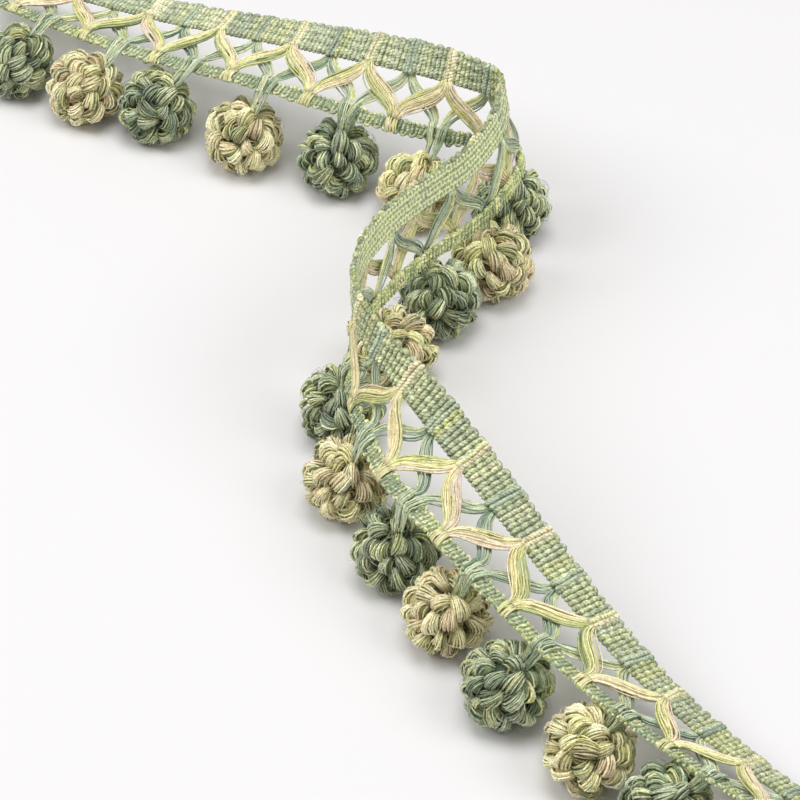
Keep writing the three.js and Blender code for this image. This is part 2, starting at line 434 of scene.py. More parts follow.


# Thick soft cords. Their sides take the edge colour by 1 - |cos(corner)|, which in the braid and the stitches
# is a darker share of the cord's own colour, painted shade, and in the heading is partly a yellow-green
# outline yarn and partly painted shade in the grooves. tone is for each ring and carries the painted shade of
# the dips, and flecks of another yarn come and go along them.
def cords(random, paths, radius, facing, colour, edge, sides, tone=1.0, flecks=0.0):
    size = paths.shape[:2]
    angle = 2 * pi * np.arange(sides) / sides
    side = (1 - np.abs(np.cos(angle)))[:, None]
    drift = cordYarn["drift"] * drifting(random, *size)
    lightness = tone * (1 + drift + cordYarn["mottle"] * random.standard_normal(size))
    # painted shade on the cords' sides, mixed in through the edge colour
    shaded = colour[:, None, None] * (1 - side) + edge[:, None, None] * side
    fleck = pickColours(random, "fleck", size, 0.05)[:, :, None]
    share = np.clip(flecks * drifting(random, *size), 0, 1)[..., None, None]
    shaded = (shaded * (1 - share) + fleck * share) * lightness[..., None, None]
    swell = 1 + cordYarn["swell"] * drifting(random, *size)[..., None]
    phase = random.uniform(0, 1, len(paths))
    return tubes(paths, radius, facing, shaded, sides, swell, phase, cordYarn["shade"])


# How unevenly hairpins of cord lie, in the heading and in the braid.
hairpin = {
    "sway": 0.1,  # along the trim
    "tilt": 0.12,  # to one side at the foot and to the other at the head
    "waver": 0.09,  # from side to side along a cord
    "offRow": 0.22,  # between a cord's dips and the warp ends
    "offDepth": 0.07,
    "paintedDipShade": 0.3,  # painted shade: how much darker a cord is in its dips
}


# Hairpins across a band: up one cord, half round a small circle, and down the next. Distance along the
# hairpin gives the side and the height. The cords dip where they pass a warp end. Gives the stations,
# heights, depths and tones of every hairpin's rings, where tone is painted shade, darker in the dips.
def hairpins(random, band, stations, spacing, low, high):
    each = (len(stations), 1)
    half = spacing / 2
    rise = high - low - half
    total = 2 * rise + pi * half
    t = np.linspace(0, total, band["steps"])[None] * np.ones(each)
    turn = np.clip((t - rise) / half, 0, pi)
    sideways = -np.cos(turn) * half
    climb = np.where(t < rise, t, np.where(t > rise + pi * half, total - t, rise))
    height = low + climb + np.sin(turn) * half
    reach = (height - low) / (high - low)
    height = height + random.normal(0, band["ragged"], each) * reach
    sway = random.normal(0, hairpin["sway"], each) + random.normal(0, hairpin["tilt"], each) * (2 * reach - 1)
    waver = hairpin["waver"] * np.sin(t * 1.9 + random.uniform(0, 2 * pi, each))
    slanted = band["slant"] * (reach - 0.5)
    station = stations[:, None] + (sideways + sway + waver + slanted) / trim["pitch"]
    station = np.clip(station, trim["firstStation"], trim["lastStation"])
    offRow = random.normal(0, hairpin["offRow"], each)
    dip = 0.5 + 0.5 * np.cos(2 * pi * (height - low - band["warpStart"] + offRow) / band["warpSpacing"])
    depth = random.normal(0, hairpin["offDepth"], each) - band["dip"] * dip
    # tone is painted shade, darker in the dips
    return station, height, depth, 1.0 - hairpin["paintedDipShade"] * dip**2


heading = {
    "cordsPerPitch": 18,  # nine to half a pitch: a stitch, then four hairpins of two cords
    "cordRadius": 0.82,
    "depth": 0.2,  # from the heading's middle to its cords
    "steps": 56,
    "sides": 6,
    "warpSpacing": 3.0,  # the cords dip at every warp end they pass, in rows along the heading
    "warpStart": 0.7,  # from the heading's lower edge to the first row
    "dip": 0.32,
    "loopHeight": 0.2,  # how far hairpins stand past the upper edge
    "ragged": 0.16,  # how unevenly the hairpins end
    "slant": 0.0,  # how far a hairpin leans along the trim
    "flecks": 0.2,
    "limeShare": 0.4,  # of the hairpins just after a teal stitch
    "seed": 11,
}
stitch = {
    "radius": 0.82,
    "apart": 0.48,  # from the stitch's middle to each of its two threads, in widths of a cord
    "steps": 28,
    "below": 0.4,  # how far it starts below the heading's lower edge
    "above": 0.1,  # and climbs past its upper edge
    "depth": 0.5,  # from the heading's middle to the stitch
    "front": 0.86,  # share of its length that is on the front
    "hump": 0.4,  # how far it rises as it goes over the edge
    "over": 1.1,  # and how far back it goes
    "thinner": 0.2,  # and how much thinner it gets
    "waver": 0.15,  # how far it waves along the trim, in widths of a cord
    "ripple": 0.12,  # and in depth
    "edge": 0.85,  # the colour of its sides, as a share of its own: painted shade
}


# A stitch at each half pitch, cream at the bobbles and teal between. Its threads climb the front side by side
# with a slight wave, and go over the upper edge.
def headingStitches(random):
    unit = 1 / heading["cordsPerPitch"]
    apart = stitch["apart"] * unit
    t = np.linspace(0, 1, stitch["steps"])
    climb = np.clip(t / stitch["front"], 0, 1)
    over = np.clip((t - stitch["front"]) / (1 - stitch["front"]), 0, 1)
    tall = trim["headingWidth"] + stitch["below"] + stitch["above"]
    height = headingLow - stitch["below"] + tall * climb + stitch["hump"] * np.sin(pi * over)
    radius = roundEnds(stitch["steps"]) * stitch["radius"] * (1 - stitch["thinner"] * over)
    shapes = []
    for first, palette in ((1.0, "creamStitch"), (0.5, "tealStitch")):
        spots = np.arange(first, trim["lastStation"] + 0.01, 1)
        spots = np.concatenate([spots - apart, spots + apart])[:, None]
        spots = np.clip(spots, trim["firstStation"] + 0.01, trim["lastStation"] - 0.01)
        station = spots + stitch["waver"] * unit * np.sin(4 * t + spots * 9)
        depth = stitch["depth"] + stitch["ripple"] * np.sin(9 * t + spots * 5) - stitch["over"] * over
        colour = pickColours(random, palette, len(spots))
        paths = place(station, height, depth)
        face = directions(station)[3]
        # painted shade on the stitch's sides
        edge = stitch["edge"] * colour
        shapes.append(cords(random, paths, radius, face, colour, edge, heading["sides"]))
    return shapes


def headingCords():
    random = np.random.default_rng(heading["seed"])
    unit = 1 / heading["cordsPerPitch"]
    halfPitches = np.arange(trim["firstStation"], trim["lastStation"], 0.5)
    stations = (halfPitches[:, None] + unit * (1.5 + 2 * np.arange(4))).ravel()
    high = trimWidth + heading["loopHeight"]
    station, height, depth, tone = hairpins(random, heading, stations, unit * trim["pitch"], headingLow, high)
    paths = place(station, height, heading["depth"] + depth)
    face = directions(station)[3]
    colour = pickColours(random, "heading", len(stations), 0.05)
    # side colour: partly yellow-green outline, partly painted shade in the grooves
    edge = pickColours(random, "headingEdge", len(stations), 0.05)
    afterTeal = np.arange(len(stations)) % 8 == 0
    lime = afterTeal & (random.random(len(stations)) < heading["limeShare"])
    colour[lime] = pickColours(random, "limeHeading", lime.sum())
    radius = roundEnds(heading["steps"]) * heading["cordRadius"]
    shape = cords(random, paths, radius, face, colour, edge, heading["sides"], tone, heading["flecks"])
    return joined([shape, *headingStitches(random)])


headingPiece = addPiece("headingCords", headingCords(), finishes["cords"], ["heading"])
print("heading cords made")

backing = {
    "depthFront": 0.0,
    "depthBack": -0.62,
    "brick": 1.7,  # across the trim, from one row of dimples to the next
    "relief": 0.22,
    "ringsPerCord": 3,
    "rows": 26,  # points across the width
    "dimpleWide": 0.72,  # half width of a dimple, along the trim
    "dimpleTall": 0.85,  # and across it
    "wobble": 1.1,  # how unevenly dimples lie in their rows
    "fibreScale": 1900,
    "patchScale": 520,
    "pale": 0.7,  # how much of the yarn is pale
    "uneven": 2.6,  # how much that differs from fibre to fibre
    "patchy": 1.5,  # and from patch to patch
    "paleYarn": "#fbffca",
    "darkYarn": "#ebf4bc",
    # the dimples' colour is painted shade in the weave's hollows
    "dimple": "#93aa60",
    # shadeBehindCords is painted shade on the backing's hidden front, seen in the gaps between the heading's
    # cords
    "shadeBehindCords": "#7d9178",
}


# The heading's back: short floats laid like bricks, each a low cushion. Relief is the product of two
# rounded steps, one along the trim and one across it.
def headingBack():
    pitches = trim["lastStation"] - trim["firstStation"]
    rings = int(pitches * heading["cordsPerPitch"] * backing["ringsPerCord"]) + 1
    station = np.linspace(trim["firstStation"], trim["lastStation"], rings)
    low, high = headingLow + 0.1, trimWidth
    height = np.linspace(low, high, backing["rows"])
    row = (height - low) / backing["brick"]
    shift = 0.5 * (np.floor(row) % 2)
    alongBrick = (station[:, None] * heading["cordsPerPitch"] / 2 + shift) % 1
    cushion = (1 - np.abs(2 * (row % 1) - 1) ** 4) * (1 - np.abs(2 * alongBrick - 1) ** 4)
    edge = np.sqrt(np.clip(1 - (2 * (height - low) / (high - low) - 1) ** 16, 0, 1))
    backDepth = (backing["depthBack"] - backing["relief"] * cushion) * edge
    backSide = place(station[:, None], height, backDepth)
    frontHeight = np.linspace(high, low, 6)[1:-1]
    frontSide = place(station[:, None], frontHeight, backing["depthFront"])
    ring = np.concatenate([backSide, frontSide], axis=1)[None]
    along = (station - trim["firstStation"])[None] * trim["pitch"]
    shape = skin(ring, along, np.ones(3))

    # the map's second number becomes the height on the heading, and -1 on the hidden front
    bands = len(height) + len(frontHeight)
    tall = np.concatenate([height - low, np.full(len(frontHeight), -1.0)])
    quads = (rings - 1) * bands
    uv = shape["uv"][:quads * 4].reshape(quads, 4, 2)
    corners = shape["corners"][:quads * 4].reshape(quads, 4) % bands
    uv[:, :, 1] = tall[corners]
    return shape


# The weave of the back: pale fibres, and dimples in rows, each row half a step on from the last, dark with
# painted shade in their hollows. A dimple is 1 - (x / wide)^2 - (y / tall)^2 about its middle.
def backingMaterial():
    shader = Shader("backingYarn")
    along, across = shader.strandMap()
    where = shader.add("ShaderNodeTexCoord", output="Object")
    fibres = shader.noise(where, backing["fibreScale"], 3.0)
    patches = shader.noise(where, backing["patchScale"], 2.0)
    cordSize = trim["pitch"] / heading["cordsPerPitch"]
    wobble = backing["wobble"] * (patches - 0.5)
    row = across * (1 / backing["brick"]) + 0.5 + 0.5 * wobble
    alongRow = along * (1 / cordSize) + 0.5 * row.floor() + wobble
    x = (alongRow.fraction() - 0.5) * (cordSize / backing["dimpleWide"])
    y = (row.fraction() - 0.5) * (backing["brick"] / backing["dimpleTall"])
    dimple = (1 - x * x - y * y).atLeast(0)
    # painted shade in the dimples
    hole = dimple * (0.35 + 1.3 * fibres)
    tone = backing["pale"] + backing["uneven"] * (fibres - 0.5) + backing["patchy"] * (patches - 0.5)
    colour = shader.mix(hole, shader.mix(tone, backing["darkYarn"], backing["paleYarn"]), backing["dimple"])
    # painted shade on the hidden front, where it shows between the cords
    hidden = across.maths("LESS_THAN", across, 0)
    colour = shader.mix(hidden, colour, backing["shadeBehindCords"])
    relief = 0.5 * fibres - 1.3 * dimple
    bump = shader.add("ShaderNodeBump", values={"Strength": 0.75, "Distance": 0.45 * mm, "Height": relief})
    return shader.finish(Base_Color=colour, Normal=bump, Roughness=0.85, Sheen_Weight=0.15)


backPiece = addPiece("headingBack", headingBack(), backingMaterial(), [])
print("heading back made")

braid = {
    "cordsPerPitch": 20,
    "cordRadius": 0.62,
    "low": -0.45,  # heights of the lower and upper ends of its cords
    "high": 4.0,
    "depth": 0.34,  # from the braid's middle to its front cords, and to its back ones
    "steps": 18,
    "sides": 5,
    "warpSpacing": 2.1,
    "warpStart": 1.2,
    "dip": 0.22,
    "ragged": 0.28,
    "slant": -0.9,
    # which way each layer faces, its palette, its flecks, and its edge colour as a share of its own, which is
    # painted shade on the cords' sides
    "layers": [(1, "braid", 0.28, 0.8), (-1, "braidBack", 0.15, 0.9)],
    "filling": 0.45,  # half the thickness of the tape inside
    # the tape's dark colour is painted shade, seen in the gaps between the cords
    "tapeShadeColour": "#8f9c78",
    "seed": 23,
}


# The braid: two layers of hairpins, turning at the lower edge in front and at the upper edge behind, on a
# plain tape whose dark colour is painted shade in the gaps between the cords.
def braidShape():
    random = np.random.default_rng(braid["seed"])
    unit = 1 / braid["cordsPerPitch"]
    low, high = braid["low"], braid["high"]
    stations = np.arange(trim["firstStation"] + unit, trim["lastStation"] - unit / 2, 2 * unit)
    radius = roundEnds(braid["steps"]) * braid["cordRadius"]
    shapes = []
    for side, palette, flecks, edge in braid["layers"]:
        station, height, depth, tone = hairpins(random, braid, stations, unit * trim["pitch"], low, high)
        if side > 0:
            height = low + high - height
        paths = place(station, height, side * (braid["depth"] + depth))
        face = directions(station)[3] * side
        colour = pickColours(random, palette, len(stations), 0.06)
        # the edge colour is painted shade on the cords' sides
        shapes.append(cords(random, paths, radius, face, colour, edge * colour, braid["sides"], tone, flecks))
    half = braid["filling"]
    station = np.linspace(trim["firstStation"], trim["lastStation"], 300)
    heights = np.array([low, low, high, high]) + np.array([1, 1, -1, -1]) * braid["cordRadius"]
    ring = place(station[:, None], heights, np.array([half, -half, -half, half]))
    along = (station - trim["firstStation"])[None] * trim["pitch"]
    # painted shade: the dark tape inside
    shapes.append(skin(ring[None], along, linear(braid["tapeShadeColour"])))
    return joined(shapes)


addPiece("lowerBraid", braidShape(), finishes["cords"], ["braid"])
print("braid made")

lattice = {
    "curl": 0.8,  # 0 is a straight leg, 1 leaves both turns square to the heading
    "steps": 12,
    "overlap": 0.7,  # how far legs reach onto the heading
    # half and turnHalf are half widths of a leg, at its middle and at its turns. footOff and headOff are how
    # far its ends are from the station, and above is how far the feet are above the braid. mixed, later and
    # spread say how its shades vary, how far on in the palette they are, and how their lightness varies.
    "cream": {
        "strands": 22, "radius": 0.28, "half": 2.2, "turnHalf": 0.9, "footOff": 0.85, "headOff": 0.75,
        "above": -0.2, "mixed": 0.07, "later": 0.0, "spread": 0.07,
    },
    "teal": {
        "strands": 16, "radius": 0.26, "half": 1.85, "turnHalf": 0.85, "footOff": 1.4, "headOff": 0.85,
        "above": 0.1, "mixed": 0.15, "later": 0.05, "spread": 0.1,
    },
    "stray": 0.06,  # how far strands are from their even places, as shares of the leg's width
    "drift": 0.16,  # and how far they drift off by the middle
    "sway": 0.11,  # and sway along it
    "bulge": 0.55,  # how far a leg's middle strands stand out in front
    "layers": (-0.2, 0.15),  # depths of odd strands and of even ones
    "rough": 0.1,  # and how far each is from that
    "unlike": 0.15,  # how much the legs' curls differ
    "middleShade": 0.38,  # how far along the palette the middle of a leg is
    "ownShade": 0.12,  # how much that differs from leg to leg
    "acrossShade": 0.36,  # and how far on, or back, a leg's edges are
    "seed": 37,
}


# The two halves of a zig-zag's turns: every leg's head as a station, and the side on which its foot is.
def legEnds(topStation):
    tops = np.arange(trim["firstStation"], trim["lastStation"] + 0.01, 0.5)
    tops = tops[np.isclose((tops - topStation) % 1, 0)]
    top = np.repeat(tops, 2)
    side = np.tile([-1, 1], len(tops))
    foot = top + side / 2
    inside = (foot >= trim["firstStation"]) & (foot <= trim["lastStation"])
    return top[inside], side[inside]


# Where each of a leg's strands is in the palette: the leg's own place, then across it from edge to edge.
def legShades(random, kind, legs):
    count = kind["strands"]
    own = lattice["ownShade"] * random.standard_normal((legs, 1)) + lattice["middleShade"]
    across = lattice["acrossShade"] * np.linspace(-1, 1, count) * random.choice([-1, 1], (legs, 1))
    near = np.clip(own + across + kind["mixed"] * random.standard_normal((legs, count)), 0.001, 0.999)
    return np.clip(near.ravel() + kind["later"], 0, 0.999)


# Strands of a leg from foot to head. Height rises evenly with t, and the way along eases in and out:
# t - curl * sin(2 pi t) / (2 pi). Strands lie side by side, square to the leg, wider apart in its middle,
# and every other one lies behind. depth is a function of t.
def legPaths(random, kind, top, side, depth):
    steps, count = lattice["steps"], kind["strands"]
    low, high = trim["braidWidth"] + kind["above"], headingLow + lattice["overlap"]
    t = np.linspace(0, 1, steps)
    bend = lattice["curl"] * (1 + lattice["unlike"] * random.standard_normal(len(top)))[:, None]
    ease = t - bend * np.sin(2 * pi * t) / (2 * pi)
    foot = (top + side * 0.5)[:, None] * trim["pitch"] - side[:, None] * kind["footOff"]
    head = top[:, None] * trim["pitch"] + side[:, None] * kind["headOff"]
    x = foot + (head - foot) * ease
    y = low + (high - low) * t * np.ones_like(x)
    dx, dy = np.gradient(x, axis=1), np.gradient(y, axis=1)
    size = np.hypot(dx, dy)
    acrossX, acrossY = -dy / size, dx / size
    width = kind["turnHalf"] + (kind["half"] - kind["turnHalf"]) * np.sin(pi * t) ** 0.8
    lane = np.linspace(-1, 1, count)
    each = (len(top), count, 1)
    order = lane[None, :, None] + lattice["stray"] * random.standard_normal(each)
    drift = lattice["drift"] * np.sin(pi * t) * random.standard_normal(each)
    waves = 2 * pi * t * random.uniform(0.8, 1.6, each)
    sway = lattice["sway"] * np.sin(waves + random.uniform(0, 2 * pi, each))
    offset = (order + drift + sway) * width
    bulge = lattice["bulge"] * (1 - order**2) * np.sin(pi * t) ** 0.5
    odd = np.arange(count) % 2
    layer = np.where(odd, *lattice["layers"])[None, :, None]
    lift = depth(t) + bulge + layer + lattice["rough"] * random.standard_normal(each)
    station = (x[:, None] + acrossX[:, None] * offset) / trim["pitch"]
    station = np.clip(station, trim["firstStation"], trim["lastStation"])
    height = y[:, None] + acrossY[:, None] * offset
    flat = (len(top) * count, steps)
    station, height, lift = station.reshape(flat), height.reshape(flat), lift.reshape(flat)
    backwards = np.tile(np.where(odd, -1.0, 1.0), len(top))[:, None, None]
    return place(station, height, lift), directions(station)[3] * backwards


# All the legs of one zig-zag.
def zigZag(random, name, topStation, depth):
    kind = lattice[name]
    top, side = legEnds(topStation)
    paths, face = legPaths(random, kind, top, side, depth)
    near = legShades(random, kind, len(top))
    colour = pickColours(random, name + "Leg", len(paths), kind["spread"], near)[:, None, None]
    radius = kind["radius"] * roundEnds(lattice["steps"])
    return tubes(paths, radius, face, colour, 3, phase=random.random(len(paths)), shade=1.1)


wrap = {
    # where the yarn crosses the braid at each foot, along the trim
    "offsets": [-1.6, -1.25, -0.95, -0.65, -0.3, 0.3, 0.65, 0.95, 1.25, 1.6],
    "radius": 0.28,
    "depth": 1.4,  # how far it stands in front of the braid's middle
    "past": 0.35,  # and past the braid's edges
    "tuck": 0.6,  # how much closer its ends are
    "behind": 0.25,  # how far round behind they go, in half turns
    "ragged": 0.12,  # how far it is from its even height
    "uneven": 0.06,  # and from its even depth, as a share
    "lean": 0.012,  # how far it slants to one side or the other, in pitches
    "steps": 15,
    "dark": 0.94,
}


# Yarn round the braid's front and edges, part of an ellipse whose ends are tucked in: cos(angle) times the
# reach across the braid, and sin(angle) times the depth.
def braidWraps(random):
    feet = np.arange(trim["firstStation"] + 1, trim["lastStation"] - 0.01, 1)
    station = (feet[:, None] + np.array(wrap["offsets"]) / trim["pitch"]).ravel()
    each = (len(station), 1)
    behind = wrap["behind"] * pi
    angle = np.linspace(-behind, pi + behind, wrap["steps"])
    tuck = 1 - wrap["tuck"] * np.clip((np.abs(angle - pi / 2) - pi / 2) / behind, 0, 1)
    middle = (braid["low"] + braid["high"]) / 2
    reach = tuck * ((braid["high"] - braid["low"]) / 2 + wrap["past"])
    height = middle + reach * np.cos(angle) + random.normal(0, wrap["ragged"], each)
    depth = wrap["depth"] * tuck * np.sin(angle) * (1 + wrap["uneven"] * random.standard_normal(each))
    lean = wrap["lean"] * np.cos(angle) * np.sign(random.standard_normal(each))
    paths = place(station[:, None] + lean, height, depth)
    outwards = paths - place(station, middle, 0.0)[:, None]
    near = random.uniform(0.15, 0.85, len(station))
    colour = wrap["dark"] * pickColours(random, "creamLeg", len(station), 0.05, near)[:, None, None]
    return tubes(paths, wrap["radius"], outwards, colour, 4, shade=0.8)


# The cream zig-zag lies in front, a little further out at its turns.
def creamDepth(t):
    return 0.75 + 0.35 * (2 * t - 1) ** 2


def creamLattice():
    random = np.random.default_rng(lattice["seed"])
    return joined([zigZag(random, "cream", 1.0, creamDepth), braidWraps(random)])


addPiece("creamLattice", creamLattice(), finishes["floats"], ["cream_lattice"])
print("cream lattice made")


# The teal zig-zag lies behind. At its feet it comes forward to cross the front of the braid.
def tealDepth(t):
    return -0.95 + 2.35 * np.clip(1 - t / 0.3, 0, 1) ** 2


def tealLattice():
    random = np.random.default_rng(lattice["seed"] + 1)
    return zigZag(random, "teal", 0.5, tealDepth)


addPiece("tealLattice", tealLattice(), finishes["floats"], ["teal_lattice"])
print("teal lattice made")

bobble = {
    "radius": 12.7,
    "rest": 10.5,  # height of the middle above the surface
    # strands are in each lobe, mixed is how its shades vary, and deepShadeDark how dark its painted shade is
    # deep in the ball
    "cream": {
        "lobes": 46, "strands": 12, "halfLength": 3.4, "halfWidth": 2.5, "mixed": 0.13, "deepShadeDark": 0.32,
        # coreShadeColour is the core's dark colour, painted shade deep in the ball
        "coreShadeColour": "#584d28",
    },
    "teal": {
        "lobes": 48, "strands": 12, "halfLength": 3.35, "halfWidth": 2.4, "mixed": 0.2, "deepShadeDark": 0.42,
        "coreShadeColour": "#34422c",
    },
    "lobeHeight": 4.7,
    "arch": (-1.45, 1.7),  # where a strand starts and ends on its arch, in radians from the top
    "lanes": 1.4,  # how far a lobe's outer strands are round it, in radians
    "stray": 0.05,  # how far lobes are from their even places, as a share of the radius
    "turned": 0.42,  # how far they turn from pointing at the pole, in radians
    "unlike": 0.1,  # how much they differ in size
    "uneven": 0.3,  # and in how far out they stand
    "lean": 0.14,  # how far lobes tip over, as a share of their height
    "twist": 0.3,  # how far a lobe's strands turn about it from end to end
    "loose": 0.24,  # how far strands lie above or below their lobe
    "proud": 0.5,  # how far a few of them stand out
    "proudShare": 0.06,
    "crowded": 0.12,  # how much strands crowd towards the middle of a lobe, in radians
    "unevenLanes": 0.08,  # and how far they are from their even places, in radians
    "splay": 0.25,  # how far their ends stray sideways
    "shadeAcross": 0.12,  # how far on, or back, in the palette a lobe's outer strands are
    "lobeTone": 0.07,  # how much lobes differ in lightness
    "deepShadeRich": 0.4,  # how much richer in colour the painted shade makes yarn deep in the ball
    "strandRadius": 0.34,
    "filling": 0.86,  # the size of the dark filling inside a lobe, as a share of the lobe
    # the filling's colour, painted shade, is the first number times the strands' colour to the power of the
    # second
    "fillingShade": (0.7, 1.7),
    "deepFrom": 8.2,  # painted shade is darkest within this distance of the middle
    "deepFade": 3.4,  # and fades out to the yarn's own colour this much further out
    "coreRadius": 8.6,
    "windings": 32,  # dark strands wound round the core
    "windingRadius": 0.45,
    "windingRise": (0.2, 0.7),  # above the core
    "windingShade": (0.55, 1.6),  # painted shade, worked out like the filling's
    "fibres": 50,  # loose fibres that stand off the ball
    "fibreRadius": 0.06,
    "fibreFoot": 1.6,  # how deep in the ball they start
    "fibreRise": (1.5, 2.9),
    "fibreHalf": (1.2, 4),  # half their length
    "steps": 7,
    "sides": 3,
    "settle": 1.0,  # yarn this near the surface is pressed flat
    "seed": 101,
}


def bobbleMiddle(label):
    low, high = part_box("bobble_" + label)
    middle = (low + high) / 2 / mm
    return np.array([middle.x, middle.y, bobble["rest"]])


# Heights near the surface are squeezed: below settle, height becomes an exponential that never reaches it.
def pressed(points):
    span = bobble["settle"]
    low = points[..., 2] < span
    squeezed = 0.08 + (span - 0.08) * np.exp((np.minimum(points[..., 2], span) - span) / (span - 0.08))
    result = points.copy()
    result[..., 2] = np.where(low, squeezed, points[..., 2])
    return result


# The lobes of a ball, spread on a spiral from pole to pole: which way each faces and lies, and its own size,
# twist, lean and distance of its foot from the middle.
def spreadLobes(random, count, pole):
    rank = np.arange(count) + 0.5
    height = 0.985 - 1.97 * rank / count
    angle = rank * pi * (3 - 5**0.5) + random.uniform(0, 2 * pi)
    offAxis = np.sqrt(1 - height**2)
    spread = np.stack([offAxis * np.cos(angle), offAxis * np.sin(angle), height], -1)
    spread = normalised(spread + bobble["stray"] * random.standard_normal(spread.shape))
    across = normalised(np.cross(pole, [0.3, 0.9, 0.2]))
    out = spread @ np.stack([across, np.cross(pole, across), pole])
    toPole = normalised(pole - out * (out @ pole)[:, None])
    turned = random.normal(0, bobble["turned"], count)[:, None]
    lengthways = -toPole * np.cos(turned) + np.cross(out, toPole) * np.sin(turned)
    each = (count, 1, 1)
    footOut = bobble["radius"] - bobble["strandRadius"] - bobble["lobeHeight"]
    return {
        "out": out,
        "lengthways": lengthways,
        "widthways": np.cross(out, lengthways),
        "size": 1 + bobble["unlike"] * random.standard_normal(each),
        "twist": bobble["twist"] * random.standard_normal(each),
        "lean": bobble["lean"] * random.standard_normal((2, *each)),
        "foot": footOut + bobble["uneven"] * random.standard_normal(each),
    }


# Places on the lobes, from the ball's middle.
def inBall(lobes, along, sideways, up):
    out, lengthways, widthways = (lobes[key][:, None, None] for key in ("out", "lengthways", "widthways"))
    return (
        out * (lobes["foot"] + up)[..., None]
        + lengthways * (along + lobes["lean"][0] * up)[..., None]
        + widthways * (sideways + lobes["lean"][1] * up)[..., None]
    )


# Points of a lobe from the numbers arch and lane. arch runs along its strands, from the pinched end to the
# plump end: along = length * sin(arch), up = height * cos(arch). lane runs across them like the staves of a
# barrel, and width grows from the pinched end to the plump one.
def lobePoint(kind, arch, lane, size, twist):
    lane = lane + twist * arch
    grown = np.clip((arch - bobble["arch"][0]) / 2.0, 0, 1)
    width = 0.45 + 0.55 * grown**2 * (3 - 2 * grown) - 0.22 * np.clip(arch - 0.7, 0, 1) ** 2
    along = kind["halfLength"] * size * np.sin(arch) * (0.7 + 0.3 * np.cos(lane))
    sideways = kind["halfWidth"] * size * np.sin(lane) * width
    up = bobble["lobeHeight"] * size * (np.cos(arch) * (0.2 + 0.8 * np.cos(lane)) + 0.08)
    return along, sideways, up


# The strands that arch over the lobes, and their colours, with painted shade that darkens them nearer the
# middle of the ball.
def lobeStrands(random, palette, middle, lobes):
    kind = bobble[palette]
    count = (kind["lobes"], kind["strands"])
    arch = np.linspace(*bobble["arch"], bobble["steps"])
    lane = np.linspace(-bobble["lanes"], bobble["lanes"], kind["strands"])[None, :, None]
    lane = lane - bobble["crowded"] * np.sin(2 * lane)
    lane = lane + bobble["unevenLanes"] * random.standard_normal((*count, 1))
    along, sideways, up = lobePoint(kind, arch, lane, lobes["size"], lobes["twist"])
    sideways = sideways + bobble["splay"] * random.standard_normal((*count, 1)) * np.sin(arch)
    loose = bobble["loose"] * random.standard_normal((*count, 1))
    loose = loose + bobble["proud"] * (random.random((*count, 1)) < bobble["proudShare"])
    local = inBall(lobes, along, sideways, up + loose * np.cos(arch / 1.2))
    reach = np.linalg.norm(local, axis=-1, keepdims=True)
    local = local * np.minimum(1, (bobble["radius"] - bobble["strandRadius"] + 0.5) / reach)
    paths = (middle + local).reshape(-1, bobble["steps"], 3)
    foot = lobes["out"] * (bobble["radius"] - 1.1 * bobble["lobeHeight"])
    facing = normalised(local - foot[:, None, None]).reshape(paths.shape)

    near = random.random((kind["lobes"], 1)) + bobble["shadeAcross"] * np.linspace(-1, 1, kind["strands"])
    near = near + kind["mixed"] * random.standard_normal(count)
    colour = pickColours(random, palette, count, 0.1, near)
    lightness = 1 + bobble["lobeTone"] * random.standard_normal((kind["lobes"], 1, 1))
    colour = np.clip(colour * lightness, 0, 1)
    # painted shade: yarn deep in the ball is darker and richer in colour
    deep = 1 - np.clip((reach - bobble["deepFrom"]) / bobble["deepFade"], 0, 1)
    colour = colour[:, :, None] ** (1 + bobble["deepShadeRich"] * deep) * (1 - kind["deepShadeDark"] * deep)
    ringColour = colour.reshape(-1, bobble["steps"], 1, 3)
    phase = random.random(len(paths))
    radius = bobble["strandRadius"]
    return tubes(paths, radius, facing, ringColour, bobble["sides"], phase=phase, shade=1.0), colour


# The filling of each lobe, which shows between its strands as painted shade: a darker, richer copy of their
# own colour.
def lobeFilling(kind, middle, lobes, strandColour):
    arch = np.linspace(-1.3, 1.5, 6)[None, :, None]
    side = 2 * pi * np.arange(6) / 6
    along, _, up = lobePoint(kind, arch, 0.0 * side, bobble["filling"] * lobes["size"], 0.0)
    half = kind["halfWidth"] * bobble["filling"] * lobes["size"] * np.cos(0.8 * arch)
    rings = inBall(lobes, along, half * np.sin(side), up * (0.45 + 0.55 * np.cos(side)))
    # painted shade for the gaps between strands
    dark, deeper = bobble["fillingShade"]
    colour = dark * strandColour[:, :, bobble["steps"] // 2].mean(axis=1) ** deeper
    return skin(middle + rings, np.zeros((kind["lobes"], 6)), colour[:, None, None], turns=6)


# Directions at random, each with another that is square to it.
def squarePairs(random, count):
    first = normalised(random.standard_normal((count, 1, 3)))
    return first, normalised(np.cross(first, random.standard_normal((count, 1, 3))))


# Deeper still, strands wound round the core, each most of the way along a great circle, coloured darker as
# painted shade.
def coreWindings(random, palette, middle):
    count, steps = bobble["windings"], 10
    axis, start = squarePairs(random, count)
    turn = np.linspace(0, 1.6 * pi, steps)[:, None]
    circle = start * np.cos(turn) + np.cross(axis, start) * np.sin(turn)
    paths = middle + circle * (bobble["coreRadius"] + random.uniform(*bobble["windingRise"], (count, 1, 1)))
    # painted shade on the windings
    dark, deeper = bobble["windingShade"]
    colour = dark * pickColours(random, palette, count, 0.1)[:, None, None] ** deeper
    radius = bobble["windingRadius"] * roundEnds(steps)
    return tubes(paths, radius, paths - middle, colour, 3, phase=random.random(count))


